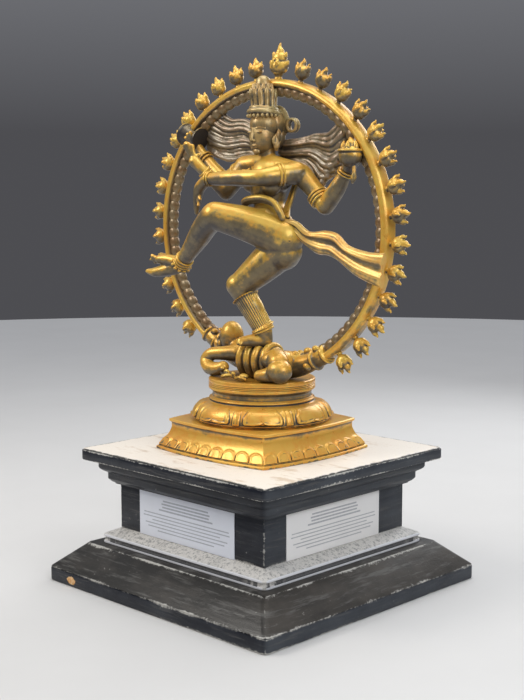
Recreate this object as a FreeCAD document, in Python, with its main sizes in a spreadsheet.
"""Dancing figure of brass in a ring of flames, on a clad stone plinth.

Millimetres, +Z up. The origin is the middle of the plinth's underside. The figure faces -Y, so
its own left hand is on the +X side.
"""
import FreeCAD, Part
import math
import os
import Sketcher
from FreeCAD import Placement, Rotation, Vector

doc = FreeCAD.newDocument("DancingFigure")

# ---------------------------------------------------------------- driving dimensions
DIMENSIONS = [
    ("FloorHalf", 770, "half width of the plinth where it stands on the floor"),
    ("FloorSlabTop", 72, "top of the floor slab"),
    ("SkirtHalf", 632, "half width at the top of the sloping skirt"),
    ("SkirtTop", 196, "top of the skirt"),
    ("StepHalf", 579, "half width of the step course"),
    ("StepEdge", 242, "height of the step's outer edge"),
    ("StepTop", 273, "height of the step where the die stands on it"),
    ("DieHalf", 508, "half width of the die"),
    ("DieTop", 503, "top of the die panels"),
    ("CoreLowerHalf", 556, "half width of the core inside the skirt"),
    ("CoreHalf", 470, "half width of the core inside the die"),
    ("CladGap", 1, "mortar gap between the core and its cladding"),
    ("CorniceLower", 561, "half width of the cornice's lower fillet"),
    ("CorniceMiddle", 567, "height where the lower fillet ends"),
    ("CorniceUpper", 594, "half width of the cornice's upper fillet"),
    ("CorniceTop", 626, "top of the cornice"),
    ("CapHalf", 651, "half width of the capping slab"),
    ("CapTop", 677, "top of the capping slab"),
    ("PaleHalf", 645, "half width of the pale slab laid on the cap"),
    ("PaleTop", 683, "top of the pale slab, where the brass stands"),
    ("MitreGap", 0.4, "half of the open mitre between two slabs"),
    ("PlaqueWide", 672, "width of a plaque"),
    ("PlaqueLow", 273, "lower edge of a plaque"),
    ("PlaqueHigh", 224, "height of a plaque"),
    ("PlaqueThick", 5, "thickness of a plaque"),
    ("PlaqueFrontX", -16, "middle of the front plaque, to the side of the centre line"),
    ("PlaqueSideY", -28, "middle of the side plaque, from the centre line"),
    ("AnchorOut", 240, "distance of the anchors from the centre lines"),
    ("AnchorRadius", 9, "radius of an anchor rod"),
    ("AnchorHole", 11, "radius of the holes that the rods pass through"),
    ("AnchorHigh", 722, "upper end of the anchor rods"),
    ("NutRadius", 17, "radius of an anchor nut across its corners"),
    ("NutHigh", 15, "height of an anchor nut"),
    ("FootHalf", 378, "half width of the brass foot at its lower corners"),
    ("FootWallHalf", 322, "half width of the brass foot's wall at its corners"),
    ("FootLipHalf", 331, "half width of the lip at the top of the brass foot"),
    ("FootBow", 42, "how far each side of the brass foot bows out"),
    ("FlangeThick", 16, "thickness of the brass foot's lower flange"),
    ("FootLip", 14, "thickness of the lip at the top of the brass foot"),
    ("FootTop", 836, "top of the brass foot"),
    ("CastWall", 12, "wall of the hollow castings"),
    ("LotusRadius", 352, "radius of the lotus tier at its foot"),
    ("LotusTop", 952, "top of the lotus tier"),
    ("LotusNeck", 256, "radius of the lotus tier at its top"),
    ("DrumNeck", 250, "radius of the drum's neck"),
    ("DrumRim", 268, "radius of the drum's rim"),
    ("RimLow", 993, "underside of the drum's rim"),
    ("DrumTop", 1047, "top of the drum"),
    ("RingWide", 771, "half width of the flame ring, outside"),
    ("RingHigh", 728, "half height of the flame ring, outside"),
    ("RingBand", 44, "thickness of the ring's band"),
    ("RingDeep", 78, "depth of the ring, front to back"),
    ("RingCentre", 1787, "height of the ring's centre"),
    ("RingBehind", 52, "how far behind the figure the ring stands"),
    ("RingTilt", 4.8, "degrees that the ring leans in its own plane"),
    ("RibThick", 20, "how far the beaded rib stands in from the band"),
    ("RibDeep", 52, "depth of the beaded rib"),
    ("RingEnd", 22, "degrees from the lowest point to each end of the ring"),
    ("FlamePitch", 9.8, "degrees between two flames"),
    ("FlameFirst", 11.06, "degrees from the crest to the first flame"),
    ("FlameHigh", 116, "height of a flame"),
    ("FlameRadius", 34, "radius of a flame's bulb"),
    ("CrestScale", 1.5, "size of the crest flame against the others"),
    ("HairThick", 18, "thickness of the fans of hair"),
    ("HairFront", 66, "how far back the fans of hair begin"),
    ("SashThick", 16, "thickness of the flying sash"),
    ("SashBack", 8, "how far in front of the centre line the sash's back is"),
    ("HandDrumLong", 96, "length of the hand drum"),
    ("HandDrumRadius", 36, "radius of the hand drum's heads"),
    ("BowlRadius", 34, "radius of the bowl of fire"),
    ("BowlHigh", 44, "height of the bowl of fire"),
]

# Places on the figure: x, y, z and the radius of the body there.
PLACES = [
    ("Heel", 66, -44, 1238, 34), ("Toes", -4, -142, 1232, 24), ("Ankle", 62, -52, 1282, 34),
    ("Calf", 22, -88, 1400, 54), ("Knee", -32, -123, 1506, 66), ("Thigh", 74, -80, 1600, 88),
    ("Hip", 160, -30, 1690, 98),
    ("RaisedHip", 196, -52, 1748, 100), ("RaisedThigh", 66, -160, 1810, 88),
    ("RaisedKnee", -74, -250, 1850, 70), ("RaisedCalf", -230, -215, 1742, 54),
    ("RaisedAnkle", -400, -175, 1606, 32), ("RaisedHeel", -452, -178, 1572, 34),
    ("RaisedToes", -594, -226, 1552, 20),
    ("LeftShoulder", 236, -6, 2054, 56), ("LeftArm", 186, -100, 2044, 47),
    ("LeftElbow", 138, -165, 2030, 40), ("LeftForearm", -30, -186, 2030, 36),
    ("LeftWrist", -185, -192, 2026, 26), ("LeftKnuckles", -246, -192, 1980, 27),
    ("LeftFingers", -266, -192, 1862, 13),
    ("RightShoulder", -108, -8, 2092, 54), ("RightElbow", -176, -74, 1964, 40),
    ("RightWrist", -237, -166, 2066, 26), ("RightPalm", -286, -186, 2116, 34),
    ("RightTips", -330, -200, 2196, 14),
    ("RearLeftShoulder", 246, 22, 2046, 50), ("RearLeftElbow", 398, 22, 1900, 42),
    ("RearLeftForearm", 470, 22, 1986, 38), ("RearLeftWrist", 530, 22, 2064, 28),
    ("RearLeftPalm", 566, 20, 2110, 32),
    ("RearRightShoulder", -116, 26, 2096, 48), ("RearRightElbow", -286, 26, 2024, 40),
    ("RearRightWrist", -440, 14, 2158, 27), ("RearRightPalm", -476, 10, 2196, 32),
    ("DwarfHips", 150, -18, 1128, 66), ("DwarfWaist", 56, -26, 1134, 80),
    ("DwarfChest", -74, -24, 1140, 84), ("DwarfNeck", -172, -8, 1172, 50),
    ("DwarfHead", -224, 0, 1226, 64), ("DwarfShoulder", -120, -70, 1150, 44),
    ("DwarfElbow", -206, -128, 1128, 34), ("DwarfFist", -130, -150, 1090, 34),
    ("DwarfKnee", 236, -110, 1112, 48), ("DwarfShin", 150, -160, 1086, 38),
    ("DwarfSole", 70, -176, 1078, 28), ("DwarfBackKnee", 214, 60, 1120, 46),
    ("Neck", 42, -4, 2116, 42), ("Jaw", 38, -16, 2186, 46),
    ("Face", 30, -26, 2254, 80), ("HairKnot", 24, 30, 2250, 72),
    ("CrownFoot", 20, -14, 2326, 60), ("CrownWaist", 14, -8, 2372, 52), ("CrownTop", 8, -2, 2466, 61),
]

sheet = doc.addObject("Spreadsheet::Sheet", "Dimensions")


def fill_cell(row, alias, value, note):
    sheet.set(f"A{row}", note)
    sheet.set(f"B{row}", str(value))
    sheet.setAlias(f"B{row}", alias)


def fill_sheet():
    row = 0
    for alias, value, note in DIMENSIONS:
        row += 1
        fill_cell(row, alias, value, note)
    for name, *values in PLACES:
        for part_name, value in zip(("Across", "Deep", "High", "Girth"), values):
            row += 1
            fill_cell(row, name + part_name, value, f"{name}: {part_name}")
    doc.recompute()


fill_sheet()
FLAMES_A_SIDE = 14
SUBPARTS = []


def size(alias):
    """The value of one cell, in millimetres or degrees."""
    return float(sheet.get(alias))


def cell(alias):
    """The same cell as an expression."""
    return f"Dimensions.{alias}"


def place(name):
    """A place on the figure, as (x, y, z, radius), read from the sheet."""
    return tuple(size(name + part_name) for part_name in ("Across", "Deep", "High", "Girth"))


def point(name):
    return Vector(*place(name)[:3])


def keep(thing, label):
    """Names an object that becomes a file of its own."""
    thing.Label = label
    SUBPARTS.append(thing)
    return thing


# ---------------------------------------------------------------- sketches and bodies
def work_out(expression):
    """The value of a sum of products of cells, which gives a sketch its first shape."""
    total = 0.0
    for term in expression.replace(" - ", " + -1 * ").split(" + "):
        factor = 1.0
        for piece in term.split(" * "):
            factor *= size(piece.split(".", 1)[1]) if piece.startswith("Dimensions.") else float(piece)
        total += factor
    return total


def new_body(label):
    return keep(doc.addObject("PartDesign::Body", "Body_" + label), label)


def new_sketch(body, plane):
    sketch = body.newObject("Sketcher::SketchObject", body.Name + "_sketch")
    origin = [feature for feature in body.Origin.OriginFeatures if feature.Role == plane][0]
    sketch.AttachmentSupport = [(origin, "")]
    sketch.MapMode = "FlatFace"
    return sketch


def bind(sketch, kind, element, corner, expression):
    """Holds one vertex's distance from the sketch's origin to an expression."""
    value = work_out(expression)
    index = sketch.addConstraint(Sketcher.Constraint(kind, -1, 1, element, corner, value))
    sketch.setExpression(f"Constraints[{index}]", expression)


def closed_outline(sketch, points):
    """Straight lines through points given as pairs of expressions, each bound to its cells."""
    first = sketch.GeometryCount
    rough = [Vector(work_out(x), work_out(y), 0) for x, y in points]
    count = len(points)
    for i in range(count):
        sketch.addGeometry(Part.LineSegment(rough[i], rough[(i + 1) % count]), False)
    for i in range(count):
        following = first + (i + 1) % count
        sketch.addConstraint(Sketcher.Constraint("Coincident", first + i, 2, following, 1))
    for i, (x, y) in enumerate(points):
        bind(sketch, "DistanceX", first + i, 1, x)
        bind(sketch, "DistanceY", first + i, 1, y)


def square_outline(sketch, half):
    low = f"-1 * {half}"
    closed_outline(sketch, [(low, low), (half, low), (half, half), (low, half)])


def circle_outline(sketch, x, y, radius):
    middle = Vector(work_out(x), work_out(y), 0)
    index = sketch.addGeometry(Part.Circle(middle, Vector(0, 0, 1), work_out(radius)), False)
    bind(sketch, "DistanceX", index, 3, x)
    bind(sketch, "DistanceY", index, 3, y)
    number = sketch.addConstraint(Sketcher.Constraint("Radius", index, work_out(radius)))
    sketch.setExpression(f"Constraints[{number}]", radius)


def raise_sketch(sketch, height):
    sketch.setExpression("AttachmentOffset.Base.z", height)


def pad(body, sketch, length, middle=False):
    feature = body.newObject("PartDesign::Pad", body.Name + "_pad")
    feature.Profile = sketch
    feature.setExpression("Length", length)
    feature.Midplane = middle
    doc.recompute()
    return feature


def cut_up(body, sketch):
    """A pocket up through the whole body, checked to have taken something away."""
    doc.recompute()
    before = body.Shape.Volume
    feature = body.newObject("PartDesign::Pocket", body.Name + "_pocket")
    feature.Profile = sketch
    feature.Type = "ThroughAll"
    feature.Reversed = True
    doc.recompute()
    if not 0 < body.Shape.Volume < before - 1:
        raise RuntimeError(f"the pocket in {body.Label} cut nothing")


def square_slab(label, half, low, high, hole=None):
    """A square slab between two heights, with a square hole through it if one is given."""
    body = new_body(label)
    sketch = new_sketch(body, "XY_Plane")
    raise_sketch(sketch, low)
    square_outline(sketch, half)
    if hole:
        square_outline(sketch, hole)
    pad(body, sketch, f"{high} - {low}")
    return body


def round_edges(body, radius, wanted):
    """Rounds the edges of a body for which wanted(edge) is true."""
    names = [f"Edge{i + 1}" for i, edge in enumerate(body.Shape.Edges) if wanted(edge)]
    base = body.Tip
    fillet = body.newObject("PartDesign::Fillet", body.Name + "_fillet")
    fillet.Base = (base, names)
    fillet.Radius = radius
    doc.recompute()


def anchor_holes(body, radius):
    sketch = new_sketch(body, "XY_Plane")
    out = cell("AnchorOut")
    for x in (out, f"-1 * {out}"):
        for y in (out, f"-1 * {out}"):
            circle_outline(sketch, x, y, radius)
    cut_up(body, sketch)


def mitred_course(label, section, outer):
    """Four slabs that meet in mitres round the core. section holds (distance out, height) pairs."""
    body = new_body(label)
    body.AllowCompound = True
    sketch = new_sketch(body, "YZ_Plane")
    closed_outline(sketch, section)
    pad(body, sketch, f"2 * {outer}", middle=True)
    mitres = new_sketch(body, "XY_Plane")
    far, gap = f"2 * {outer}", cell("MitreGap")
    closed_outline(mitres, [(f"-1 * {far}", "0"), (far, "0"), (f"{far} - {gap}", far),
                            ("0", gap), (f"-1 * {far} + {gap}", far)])
    cut_up(body, mitres)
    axis = [feature for feature in body.Origin.OriginFeatures if feature.Role == "Z_Axis"][0]
    pattern = body.newObject("PartDesign::PolarPattern", body.Name + "_pattern")
    pattern.TransformMode = "Whole shape"
    pattern.Axis = (axis, [""])
    pattern.Angle = 360
    pattern.Occurrences = 4
    body.Tip = pattern
    doc.recompute()
    return body


def turned(label, profile):
    """A body turned about the Z axis from (radius, height) pairs of expressions."""
    body = new_body(label)
    sketch = new_sketch(body, "XZ_Plane")
    closed_outline(sketch, profile)
    feature = body.newObject("PartDesign::Revolution", body.Name + "_revolution")
    feature.Profile = sketch
    feature.ReferenceAxis = (sketch, ["V_Axis"])
    feature.Angle = 360
    doc.recompute()
    return body


# ---------------------------------------------------------------- primitives and booleans
def primitive(kind, name, **bindings):
    """A Part primitive whose properties are bound to expressions."""
    thing = doc.addObject("Part::" + kind, name)
    for prop, expression in bindings.items():
        thing.setExpression(prop, expression)
    return thing


def joined(name, things):
    fuse = doc.addObject("Part::MultiFuse", name)
    fuse.Shapes = things
    return fuse


def taken(name, base, tool):
    cut = doc.addObject("Part::Cut", name)
    cut.Base, cut.Tool = base, tool
    return cut


def oval_disc(name, wide, high, deep):
    """An upright elliptical disc, centred on the ring's middle plane."""
    edge = primitive("Ellipse", name + "_edge", MajorRadius=wide, MinorRadius=high)
    edge.Placement = Placement(Vector(), Rotation(Vector(1, 0, 0), 90))
    disc = doc.addObject("Part::Extrusion", name)
    disc.Base = edge
    disc.DirMode = "Custom"
    disc.Dir = Vector(0, 1, 0)
    disc.Solid = True
    disc.Symmetric = True
    disc.setExpression("LengthFwd", deep)
    return disc


# ---------------------------------------------------------------- free shapes
def free_part(label, shape):
    """A sub-part that only Part's functions can shape. Its largest solid is the piece."""
    solids = sorted(shape.Solids, key=lambda solid: solid.Volume)
    if not solids:
        raise RuntimeError(f"{label} has no solid")
    feature = doc.addObject("Part::Feature", "Free_" + label)
    feature.Shape = solids[-1]
    return keep(feature, label)


def limb(stations, flat=1.0):
    """A smooth solid through round sections, or oval ones with a flat below 1."""
    centres = [Vector(*station[:3]) for station in stations]
    turn, heading = Rotation(), Vector(0, 0, 1)
    wires = []
    for i, centre in enumerate(centres):
        ahead = centres[min(i + 1, len(centres) - 1)] - centres[max(i - 1, 0)]
        ahead.normalize()
        turn = Rotation(heading, ahead).multiply(turn)
        heading = ahead
        radius = stations[i][3]
        if flat < 1:
            edge = Part.Ellipse(Vector(), radius, radius * flat).toShape()
        else:
            edge = Part.Circle(Vector(), Vector(0, 0, 1), radius).toShape()
        wire = Part.Wire(edge)
        wire.Placement = Placement(centre, turn)
        wires.append(wire)
    solid = Part.makeLoft(wires, True, False)
    expected = sum((b - a).Length * math.pi * flat * ((m[3] + n[3]) / 2) ** 2
                   for a, b, m, n in zip(centres, centres[1:], stations, stations[1:]))
    if not 0.8 < solid.Volume / expected < 1.25:
        raise RuntimeError(f"a limb is twisted near {centres[0]}")
    return solid


def limb_through(*names, flat=1.0):
    return limb([place(name) for name in names], flat)


KNUCKLE_SCALE = 1.06    # a ball stands a little proud of the tapers that meet in it
JOIN_SLACK = 0.01       # how far a joined shape's measured volume may fall short of its first shape's
CUT_SLACK = 0.03        # the same for a cut: a plate with a spline rim measures about 0.016 low


def taper(a, b):
    """A straight taper between two round stations."""
    start, run = Vector(*a[:3]), Vector(*b[:3]) - Vector(*a[:3])
    if abs(a[3] - b[3]) < 0.01:
        return Part.makeCylinder(a[3], run.Length, start, run)
    return Part.makeCone(a[3], b[3], run.Length, start, run)


def knuckle(before, at):
    """A ball at the far end of a taper, with its axis along the taper."""
    end = Vector(*at[:3])
    return Part.makeSphere(at[3] * KNUCKLE_SCALE, end, end - Vector(*before[:3]))


def chained(stations):
    """Tapers through a row of round stations, with a ball at each one but the first."""
    pieces = []
    for a, b in zip(stations, stations[1:]):
        pieces += [taper(a, b), knuckle(a, b)]
    return pieces


def ball(name, scale=1.03):
    """A ball at a joint, a little larger than the limbs that meet there."""
    x, y, z, radius = place(name)
    return Part.makeSphere(radius * scale, Vector(x, y, z))


def merged(first, *others):
    """Joins shapes one at a time, so that a failure names itself."""
    for number, other in enumerate(others, start=1):
        whole = first.fuse(other)
        if whole.isNull() or not whole.isValid() or whole.Volume < (1 - JOIN_SLACK) * first.Volume:
            raise RuntimeError(f"shape {number} did not join")
        first = whole
    return first


def upright_plate(outline, front, thick):
    """A plate with a smooth rim through (x, z) points, its front face at y = front."""
    rim = Part.BSplineCurve()
    rim.interpolate([Vector(x, front, z) for x, z in outline], PeriodicFlag=True)
    return Part.Face(Part.Wire(rim.toShape())).extrude(Vector(0, thick, 0))


def bowed_square(half, bow, height):
    """A level square outline whose sides bow out, from four arcs."""
    corners = [Vector(half, -half, height), Vector(half, half, height),
               Vector(-half, half, height), Vector(-half, -half, height)]
    edges = []
    for i, corner in enumerate(corners):
        following = corners[(i + 1) % 4]
        middle = (corner + following) * 0.5
        outward = Vector(middle.x, middle.y, 0).normalize()
        edges.append(Part.Arc(corner, middle + outward * bow, following).toShape())
    return Part.Wire(edges)


def cut_from(shape, *others):
    """Takes away the space that other sub-parts already fill, so that faces meet."""
    for other in others:
        if not shape.BoundBox.intersect(other.Shape.BoundBox):
            continue
        shared = shape.common(other.Shape).Volume
        if shared < 1:
            continue
        for fuzz in (0, 0.01, 0.05):
            left = shape.cut(other.Shape, fuzz) if fuzz else shape.cut(other.Shape)
            sound = not left.isNull() and left.isValid() and left.Solids
            if sound and abs(shape.Volume - shared - left.Volume) < CUT_SLACK * shape.Volume:
                break
        else:
            raise RuntimeError(f"{other.Label} could not be taken away")
        shape = left
    return shape


# ---------------------------------------------------------------- the plinth
def build_plinth():
    core = square_slab("core_block", cell("CoreLowerHalf"), cell("FloorSlabTop"), cell("SkirtTop"))
    upper = new_sketch(core, "XY_Plane")
    raise_sketch(upper, cell("SkirtTop"))
    square_outline(upper, cell("CoreHalf"))
    pad(core, upper, f"{cell('CorniceTop')} - {cell('SkirtTop')}")

    floor = square_slab("floor_slab", cell("FloorHalf"), "0", cell("FloorSlabTop"))
    round_edges(floor, 3, lambda edge: edge.BoundBox.ZLength > 1)

    inner = f"{cell('CoreLowerHalf')} + {cell('CladGap')}"
    mitred_course("skirt_slabs", [(inner, cell("FloorSlabTop")), (cell("FloorHalf"), cell("FloorSlabTop")),
                                  (cell("SkirtHalf"), cell("SkirtTop")), (inner, cell("SkirtTop"))],
                  cell("FloorHalf"))

    inner = f"{cell('CoreHalf')} + {cell('CladGap')}"
    mitred_course("step_slabs", [(inner, cell("SkirtTop")), (cell("StepHalf"), cell("SkirtTop")),
                                 (cell("StepHalf"), cell("StepEdge")), (cell("DieHalf"), cell("StepTop")),
                                 (inner, cell("StepTop"))], cell("StepHalf"))
    mitred_course("die_panels", [(inner, cell("StepTop")), (cell("DieHalf"), cell("StepTop")),
                                 (cell("DieHalf"), cell("DieTop")), (inner, cell("DieTop"))],
                  cell("DieHalf"))
    mitred_course("cornice_slabs", [(inner, cell("DieTop")), (cell("CorniceLower"), cell("DieTop")),
                                    (cell("CorniceLower"), cell("CorniceMiddle")),
                                    (cell("CorniceUpper"), cell("CorniceMiddle")),
                                    (cell("CorniceUpper"), cell("CorniceTop")),
                                    (inner, cell("CorniceTop"))], cell("CorniceUpper"))

    cap = square_slab("cap_slab", cell("CapHalf"), cell("CorniceTop"), cell("CapTop"))
    pale = square_slab("pale_top_slab", cell("PaleHalf"), cell("CapTop"), cell("PaleTop"))
    for slab in (cap, pale):
        anchor_holes(slab, cell("AnchorHole"))

    plaque("plaque_front", f"{cell('PlaqueFrontX')} - 0.5 * {cell('PlaqueWide')}",
           f"-1 * {cell('DieHalf')} - {cell('PlaqueThick')}", cell("PlaqueWide"), cell("PlaqueThick"))
    plaque("plaque_side", cell("DieHalf"), f"{cell('PlaqueSideY')} - 0.5 * {cell('PlaqueWide')}",
           cell("PlaqueThick"), cell("PlaqueWide"))


def plaque(label, x, y, wide, deep):
    """A thin plaque on the die, standing on the step."""
    slab = primitive("Box", "Slab_" + label, Length=wide, Width=deep, Height=cell("PlaqueHigh"))
    for axis, expression in (("x", x), ("y", y), ("z", cell("PlaqueLow"))):
        slab.setExpression("Placement.Base." + axis, expression)
    keep(slab, label)


def build_anchors():
    """Four rods that hold the brass foot down, each with a six-sided nut. The core holds them."""
    rods = []
    for x in (1, -1):
        for y in (1, -1):
            name = f"Anchor_{x + 1}{y + 1}"
            rod = primitive("Cylinder", name + "_rod", Radius=cell("AnchorRadius"),
                            Height=f"{cell('AnchorHigh')} - {cell('CorniceTop')}")
            nut = primitive("Prism", name + "_nut", Circumradius=cell("NutRadius"),
                            Height=cell("NutHigh"))
            for thing, low in ((rod, cell("CorniceTop")),
                               (nut, f"{cell('PaleTop')} + {cell('FlangeThick')}")):
                thing.setExpression("Placement.Base.x", f"{x} * {cell('AnchorOut')}")
                thing.setExpression("Placement.Base.y", f"{y} * {cell('AnchorOut')}")
                thing.setExpression("Placement.Base.z", low)
            rods.append(joined(name, [rod, nut]))
    group = doc.addObject("Part::Compound", "Anchors")
    group.Links = rods
    keep(group, "anchor_rods")


# ---------------------------------------------------------------- the brass pedestal
def build_foot():
    """The square foot: a hollow casting with bowed sides, a flange below and a lip above."""
    low, bow = size("PaleTop"), size("FootBow")
    flange, lip, top = size("FlangeThick"), size("FootLip"), size("FootTop")
    foot, wall, lip_half, thick = size("FootHalf"), size("FootWallHalf"), size("FootLipHalf"), size("CastWall")
    sections = [(low, foot), (low + flange, foot), (low + flange + 4, foot - 9),
                (low + 60, foot - 28), (low + 84, wall + 4), (low + 96, wall),
                (top - lip - 3, wall), (top - lip, lip_half), (top, lip_half)]
    outside = Part.makeLoft([bowed_square(half, bow * half / foot, height)
                             for height, half in sections], True, True)
    room = Part.makeLoft([bowed_square(half, bow * half / foot, height) for height, half in
                          ((low + flange, foot - 3 * thick), (low + 96, wall - thick),
                           (top - thick, wall - thick))], True, True)
    hole = Part.makeCylinder(wall * 0.6, flange + 2, Vector(0, 0, low - 1))
    shape = outside.cut([room, hole])
    for x in (1, -1):
        for y in (1, -1):
            place_of_rod = Vector(x * size("AnchorOut"), y * size("AnchorOut"), low - 1)
            shape = shape.cut(Part.makeCylinder(size("AnchorHole"), flange + 2, place_of_rod))
    free_part("brass_foot", shape)


def build_lotus():
    radius, neck = cell("LotusRadius"), cell("LotusNeck")
    low, top, thick = cell("FootTop"), cell("LotusTop"), cell("CastWall")
    turned("lotus_tier", [(f"{radius} - 8", low), (radius, f"{low} + 12"), (radius, f"{low} + 40"),
                          (f"{radius} - 16", f"{low} + 72"), (f"{radius} - 52", f"{low} + 98"),
                          (f"{neck} + 6", f"{low} + 108"), (neck, top), ("0", top),
                          ("0", f"{top} - {thick}"), (f"{neck} - {thick}", f"{top} - {thick}"),
                          (f"{radius} - 60", f"{low} + 84"), (f"{radius} - 28", f"{low} + 60"),
                          (f"{radius} - {thick} - 8", low)])


def build_drum():
    neck, rim, low = cell("DrumNeck"), cell("DrumRim"), cell("LotusTop")
    under, top, thick = cell("RimLow"), cell("DrumTop"), cell("CastWall")
    return turned("pedestal_drum", [(neck, low), (f"{neck} - 3", f"{under} - 10"), (f"{rim} - 5", under),
                             (rim, f"{under} + 6"), (rim, f"{top} - 5"), (f"{rim} - 5", top), ("0", top),
                             ("0", f"{top} - {thick}"), (f"{rim} - {thick} - 4", f"{top} - {thick}"),
                             (f"{neck} - {thick} - 4", f"{under} - 10"), (f"{neck} - {thick}", low)])


# ---------------------------------------------------------------- the ring of flames
def ring_turn():
    """The ring's place: behind the figure, leaning in its own plane."""
    return Placement(Vector(0, size("RingBehind"), size("RingCentre")),
                     Rotation(Vector(0, 1, 0), size("RingTilt")))


def ring_point(degrees, inward=0.0):
    """A point on the ring, by its angle from the highest point, towards +X."""
    angle = math.radians(degrees)
    wide, high = size("RingWide") - inward, size("RingHigh") - inward
    return ring_turn().multVec(Vector(wide * math.sin(angle), 0, high * math.cos(angle)))


def build_ring():
    """An upright oval band with a beaded rib inside it, open at the bottom."""
    band, rib, wide, high = cell("RingBand"), cell("RibThick"), cell("RingWide"), cell("RingHigh")
    outer = oval_disc("Ring_outer", wide, high, cell("RingDeep"))
    inner = oval_disc("Ring_inner", f"{wide} - {band}", f"{high} - {band}", f"2 * {cell('RingDeep')}")
    rib_outer = oval_disc("Rib_outer", f"{wide} - 0.5 * {band}", f"{high} - 0.5 * {band}", cell("RibDeep"))
    rib_inner = oval_disc("Rib_inner", f"{wide} - {band} - {rib}", f"{high} - {band} - {rib}",
                          f"2 * {cell('RingDeep')}")
    hoop = joined("Hoop", [taken("Ring_band", outer, inner), taken("Ring_rib", rib_outer, rib_inner)])
    reach = size("RingWide") * 1.5
    half = math.tan(math.radians(size("RingEnd"))) * reach
    gap = doc.addObject("Part::Wedge", "Ring_gap")
    gap.Ymin, gap.Ymax = 0, reach
    gap.Xmin, gap.Xmax, gap.X2min, gap.X2max = -0.5, 0.5, -half, half
    gap.Zmin, gap.Zmax, gap.Z2min, gap.Z2max = (-size("RingDeep"), size("RingDeep")) * 2
    gap.Placement = Placement(Vector(), Rotation(Vector(1, 0, 0), -90))
    ring = taken("Flame_ring", hoop, gap)
    ring.Placement = ring_turn()
    doc.recompute()
    return keep(ring, "flame_ring")


def build_ring_feet(ring, drum):
    """The two collars that rise from the drum and take the ring's ends."""
    middle = size("RingBand") * 0.7
    for label, side in (("ring_collar_left", 1), ("ring_collar_right", -1)):
        lean = size("RingTilt")
        stations = []
        for degrees, radius in ((8, 50), (15, 58), (23, 52), (31, 44), (38, 38)):
            centre = ring_point(180 - side * degrees - (1 - side) * 0.5 * lean, middle)
            stations.append((centre.x, centre.y, centre.z, radius))
        floor = Part.makeBox(2000, 400, 200, Vector(-1000, -200, size("DrumTop") - 200))
        shape = limb(stations).cut([ring.Shape, floor, drum.Shape])
        free_part(label, shape)


def build_flames(ring):
    high, radius = cell("FlameHigh"), cell("FlameRadius")
    for label, degrees, scale in flame_places():
        def grown(expression):
            return f"{scale} * {expression}"
        body = turned(label, [("0", "0"), (grown(f"0.3 * {radius}"), "0"),
                              (grown(f"0.26 * {radius}"), grown(f"0.1 * {high}")),
                              (grown(f"0.86 * {radius}"), grown(f"0.3 * {high}")),
                              (grown(radius), grown(f"0.46 * {high}")),
                              (grown(f"0.8 * {radius}"), grown(f"0.64 * {high}")),
                              (grown(f"0.22 * {radius}"), grown(f"0.88 * {high}")), ("0", grown(high))])
        foot = ring_point(degrees)
        angle = math.radians(degrees)
        outward = Vector(math.sin(angle) / size("RingWide"), 0, math.cos(angle) / size("RingHigh"))
        outward = ring_turn().Rotation.multVec(outward)
        body.Placement = Placement(foot, Rotation(Vector(0, 0, 1), outward))


def flame_places():
    """Name, angle from the ring's highest point and size of each flame."""
    yield "flame_crest", 0.0, size("CrestScale")
    for side, sign in (("left", 1), ("right", -1)):
        for i in range(FLAMES_A_SIDE):
            yield f"flame_{side}_{i + 1:02d}", sign * (size("FlameFirst") + i * size("FlamePitch")), 1.0


# ---------------------------------------------------------------- the figures
def build_dwarf(drum):
    """The small figure that lies along the drum under the dancer's foot."""
    trunk = limb_through("DwarfHips", "DwarfWaist", "DwarfChest", "DwarfNeck")
    pieces = [ball("DwarfHips"), ball("DwarfHead"), ball("DwarfShoulder"), ball("DwarfFist"),
              ball("DwarfKnee"), ball("DwarfBackKnee"), ball("DwarfElbow"),
              limb([place("DwarfChest"), place("DwarfNeck"), place("DwarfHead")]),
              limb_through("DwarfShoulder", "DwarfElbow"), limb_through("DwarfElbow", "DwarfFist"),
              limb_through("DwarfHips", "DwarfKnee"), limb_through("DwarfKnee", "DwarfShin", "DwarfSole"),
              limb_through("DwarfHips", "DwarfBackKnee")]
    floor = Part.makeBox(2000, 2000, 200, Vector(-1000, -1000, size("DrumTop") - 200))
    return free_part("dwarf", merged(trunk, *pieces).cut(floor))


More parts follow.
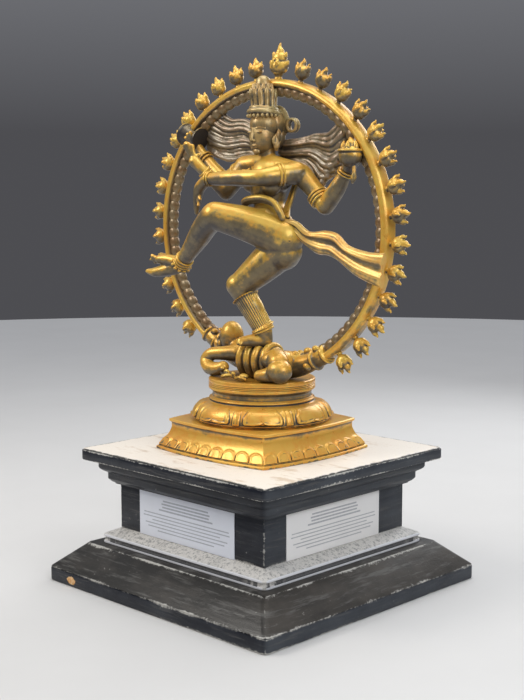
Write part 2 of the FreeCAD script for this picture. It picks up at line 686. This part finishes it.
def build_dancer(ring, dwarf):
    hip, raised, neck = place("Hip"), place("RaisedHip"), place("Neck")
    trunk = [(hip[0] + 14, hip[1] - 8, hip[2], 92), (raised[0] - 50, raised[1] + 10, raised[2] + 12, 102),
             (100, -40, 1850, 93), (78, -26, 1908, 82), (76, -36, 2000, 99)]
    left, right = place("LeftShoulder"), place("RightShoulder")
    pieces = chained(trunk) + [knuckle(trunk[1], trunk[0]), taper(right, left), knuckle(right, left),
                               knuckle(left, right),
                               taper((60, -14, 2050, 62), (neck[0], neck[1], neck[2] - 4, 46))]
    torso = free_part("torso", merged(*pieces))

    head = merged(limb_through("Neck", "Jaw", "Face"), ball("Face", 1.0), ball("HairKnot"),
                  limb_through("CrownFoot", "CrownWaist", "CrownTop"))
    head = free_part("head_and_crown", cut_from(head, torso, ring))

    standing = merged(limb_through("Knee", "Thigh", "Hip"), ball("Knee"),
                      limb_through("Heel", "Ankle", "Calf", "Knee"), ball("Heel"),
                      limb_through("Heel", "Toes"))
    standing = free_part("leg_standing", cut_from(standing, torso, dwarf))
    lifted = merged(limb_through("RaisedHip", "RaisedThigh", "RaisedKnee"), ball("RaisedKnee"),
                    limb_through("RaisedKnee", "RaisedCalf", "RaisedAnkle", "RaisedHeel"),
                    ball("RaisedHeel"), limb_through("RaisedHeel", "RaisedToes"))
    lifted = free_part("leg_raised", cut_from(lifted, torso, standing, ring))

    arms = [("arm_front_left", ["LeftShoulder", "LeftArm", "LeftElbow", "LeftForearm", "LeftWrist"],
             ["LeftWrist", "LeftKnuckles", "LeftFingers"]),
            ("arm_front_right", ["RightShoulder", "RightElbow", "RightWrist"],
             ["RightWrist", "RightPalm", "RightTips"]),
            ("arm_rear_left", ["RearLeftShoulder", "RearLeftElbow", "RearLeftForearm", "RearLeftWrist"],
             ["RearLeftWrist", "RearLeftPalm"]),
            ("arm_rear_right", ["RearRightShoulder", "RearRightElbow", "RearRightWrist"],
             ["RearRightWrist", "RearRightPalm"])]
    placed = [torso, head, lifted, standing, ring]
    for label, along, hand in arms:
        stations = [place(name) for name in along + hand[1:]]
        arm = free_part(label, cut_from(merged(*chained(stations)), *placed))
        placed.append(arm)
    build_hair(placed)
    build_sash(placed)
    build_held_things(placed)


def build_hair(placed):
    """Two fans of flying locks, one each side of the head."""
    front, thick = size("HairFront"), size("HairThick")
    knot = point("HairKnot")
    fans = [("hair_fan_left", [(300, -20), (440, 44), (500, -60), (492, -176), (330, -252), (170, -150),
                               (60, -130), (0, -82), (110, -30)]),
            ("hair_fan_right", [(-240, 70), (-390, 124), (-450, 30), (-470, -60), (-330, -84),
                                (-170, -120), (-60, -110), (0, -70), (-90, -10)])]
    for label, outline in fans:
        fan = upright_plate([(knot.x + x, knot.z + z) for x, z in outline], front, thick)
        feature = free_part(label, cut_from(fan, *placed))
        placed.append(feature)


def build_sash(placed):
    """The sash that flies from the waist, across the ring."""
    thick, back = size("SashThick"), size("SashBack")
    outline = [(440, 1800), (600, 1768), (812, 1716), (826, 1650), (792, 1552), (640, 1640), (480, 1700),
               (360, 1706), (262, 1770), (206, 1850), (222, 1900), (290, 1800), (360, 1766)]
    sash = upright_plate(outline, -back - thick, thick)
    placed.append(free_part("flying_sash", cut_from(sash, *placed)))


def build_held_things(placed):
    """The hand drum in the rear right hand and the bowl of fire in the rear left hand."""
    long, radius = cell("HandDrumLong"), cell("HandDrumRadius")
    drum = turned("hand_drum", [("0", "0"), (radius, "0"), (f"0.94 * {radius}", f"0.12 * {long}"),
                                (f"0.4 * {radius}", f"0.5 * {long}"),
                                (f"0.94 * {radius}", f"0.88 * {long}"), (radius, long), ("0", long)])
    palm = place("RearRightPalm")
    drum.Placement = Placement(Vector(palm[0] - 22 - size("HandDrumLong") / 2, palm[1], palm[2] + 70),
                               Rotation(Vector(0, 1, 0), 90))
    radius, tall = cell("BowlRadius"), cell("BowlHigh")
    bowl = turned("bowl_of_fire", [("0", "0"), (f"0.45 * {radius}", "0"), (radius, f"0.5 * {tall}"),
                                   (radius, f"0.6 * {tall}"), (f"0.5 * {radius}", f"1.1 * {tall}"),
                                   ("0", f"1.9 * {tall}")])
    palm = place("RearLeftPalm")
    bowl.Placement = Placement(Vector(palm[0], palm[1] - 22, palm[2] + palm[3] + 1), Rotation())


# ---------------------------------------------------------------- building and writing
def check_everything():
    doc.recompute()
    for thing in doc.Objects:
        if "Invalid" in thing.State or "Error" in thing.State:
            raise RuntimeError(f"{thing.Label} failed: {thing.State}")
    for thing in SUBPARTS:
        if thing.Shape.isNull() or not thing.Shape.isValid() or not thing.Shape.Solids:
            raise RuntimeError(f"{thing.Label} has no valid solid")


def write_parts():
    os.makedirs("parts", exist_ok=True)
    for thing in SUBPARTS:
        thing.Shape.exportStep(f"parts/{thing.Label}.step")


build_plinth()
build_anchors()
build_foot()
build_lotus()
drum_body = build_drum()
flame_ring = build_ring()
build_flames(flame_ring)
dwarf_part = build_dwarf(drum_body)
build_ring_feet(flame_ring, drum_body)
build_dancer(flame_ring, dwarf_part)
check_everything()
write_parts()
print(len(SUBPARTS), "sub-parts")
